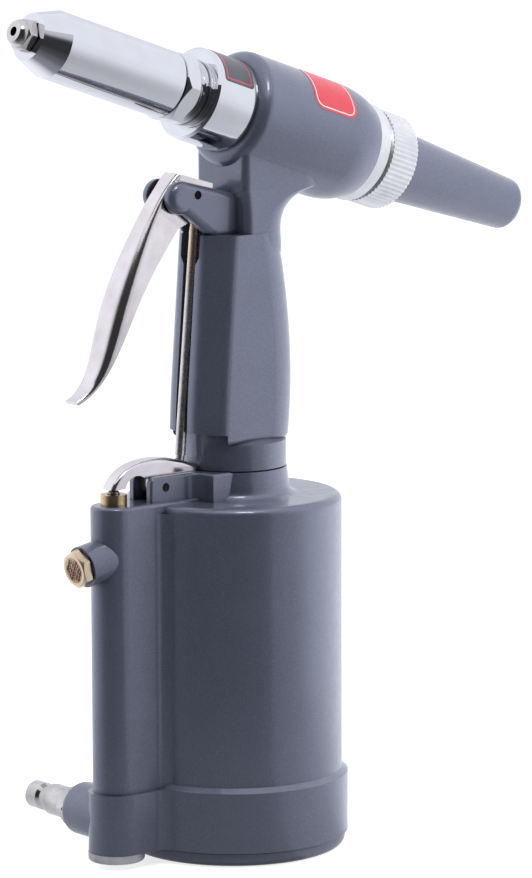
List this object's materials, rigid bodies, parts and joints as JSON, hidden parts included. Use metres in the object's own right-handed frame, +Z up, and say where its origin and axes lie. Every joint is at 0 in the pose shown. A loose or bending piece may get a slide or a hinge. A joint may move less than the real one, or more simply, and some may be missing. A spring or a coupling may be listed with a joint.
{
  "type": "pneumatic riveter",
  "caption": "Air hydraulic blind riveter with an upright air cylinder, pistol grip, tilted head, bright nose, trigger lever and rear mandrel collector.",
  "frame": {"origin": "centre of the foot's underside, on the axis of the air cylinder and grip", "axes": "+X to the nose, +Y to the tool's left side, +Z up along the cylinder"},
  "size_m": [0.2136, 0.0833, 0.2808],
  "materials": {
    "grey_paint": "satin paint over die-cast aluminium",
    "grey_tube": "satin paint over drawn aluminium",
    "chrome": "polished chrome plate on steel",
    "ring_metal": "turned and knurled aluminium",
    "nose_steel": "turned steel",
    "raw_cap": "raw turned aluminium",
    "bright_steel": "zinc plated steel",
    "dark_pin": "blackened steel",
    "spring_steel": "spring steel",
    "brass": "turned brass",
    "sintered": "sintered bronze mesh",
    "nickel": "nickel plated steel",
    "seal_rubber": "matt rubber"
  },
  "bodies": {
    "frame": {"frame": "grey_paint", "barrel_sleeve": "chrome", "rod_seal": "seal_rubber", "nose_housing": "chrome", "head_lock_nut": "chrome", "nose_piece": "nose_steel", "frame_cap": "ring_metal", "cylinder": "grey_paint", "base_cap": "grey_paint", "oil_tube": "bright_steel", "handle_nut": "bright_steel", "bumper": "seal_rubber", "ram_gland": "bright_steel", "ram_seal": "seal_rubber", "trigger_pin": "dark_pin", "rocker_pin": "dark_pin", "valve_bush": "brass", "valve_seal": "seal_rubber", "valve_spring": "spring_steel", "column_cap": "raw_cap", "muffler_body": "brass", "muffler_screen": "sintered", "air_plug": "nickel", "plug_washer": "seal_rubber", "pull_return_spring": "spring_steel"},
    "trigger": {"trigger": "chrome", "eye_pin": "dark_pin"},
    "pull_rod": {"pull_rod": "bright_steel", "rod_nut": "bright_steel"},
    "rocker": {"rocker": "chrome"},
    "valve_stem": {"valve_stem": "bright_steel"},
    "air_piston": {"air_piston": "raw_cap", "piston_seal": "seal_rubber", "ram": "bright_steel", "ram_nut": "bright_steel"},
    "pull_piston": {"pull_piston": "bright_steel", "pull_piston_seal": "seal_rubber", "jaw_case": "nose_steel", "jaw_case_nut": "nose_steel", "jaw_pusher_spring": "spring_steel"},
    "jaw_set": {"jaws": "nose_steel", "jaw_pusher": "nose_steel"},
    "collector_ring": {"collector_ring": "ring_metal"},
    "collector": {"collector": "grey_tube"}
  },
  "joints": [
    {"name": "trigger_pull", "type": "hinge", "parent": "frame", "child": "trigger", "pos_m": [0.021, 0, 0.2196], "axis": [0, 1, 0], "range_deg": [0, 7], "stiffness_Nm_per_rad": 1.5, "springref_deg": -8.59},
    {"name": "rod_lift", "type": "slide", "parent": "frame", "child": "pull_rod", "axis": [-0.0909, 0, 0.9959], "range_m": [0, 0.0009]},
    {"name": "rocker_tilt", "type": "hinge", "parent": "frame", "child": "rocker", "pos_m": [0.0332, 0, 0.1247], "axis": [0, 1, 0], "range_deg": [0, 4.5]},
    {"name": "valve_push", "type": "slide", "parent": "frame", "child": "valve_stem", "axis": [0, 0, -1], "range_m": [0, 0.0014], "deforming": ["valve_spring"]},
    {"name": "air_piston_rise", "type": "slide", "parent": "frame", "child": "air_piston", "axis": [0, 0, 1], "range_m": [0, 0.066], "stiffness_N_per_m": 300, "springref_m": -0.02},
    {"name": "pull_stroke", "type": "slide", "parent": "frame", "child": "pull_piston", "axis": [-0.9507, 0, -0.3102], "range_m": [0, 0.015], "deforming": ["pull_return_spring"]},
    {"name": "jaw_close", "type": "slide", "parent": "pull_piston", "child": "jaw_set", "axis": [0.9507, 0, 0.3102], "range_m": [0, 0.0012], "deforming": ["jaw_pusher_spring"]},
    {"name": "ring_turn", "type": "hinge", "parent": "frame", "child": "collector_ring", "pos_m": [-0.06084, 0, 0.22639], "axis": [0.9507, 0, 0.3102], "continuous": true},
    {"name": "collector_pull", "type": "slide", "parent": "collector_ring", "child": "collector", "axis": [-0.9507, 0, -0.3102], "range_m": [0, 0.06]}
  ],
  "couplings": [
    {"joint": "rod_lift", "follows": "trigger_pull", "m_per_rad": 0.0062},
    {"joint": "rocker_tilt", "follows": "trigger_pull", "ratio": 0.6},
    {"joint": "valve_push", "follows": "trigger_pull", "m_per_rad": 0.0104},
    {"joint": "pull_stroke", "follows": "air_piston_rise", "ratio": 0.2258},
    {"joint": "jaw_close", "follows": "air_piston_rise", "ratio": 0.018}
  ]
}
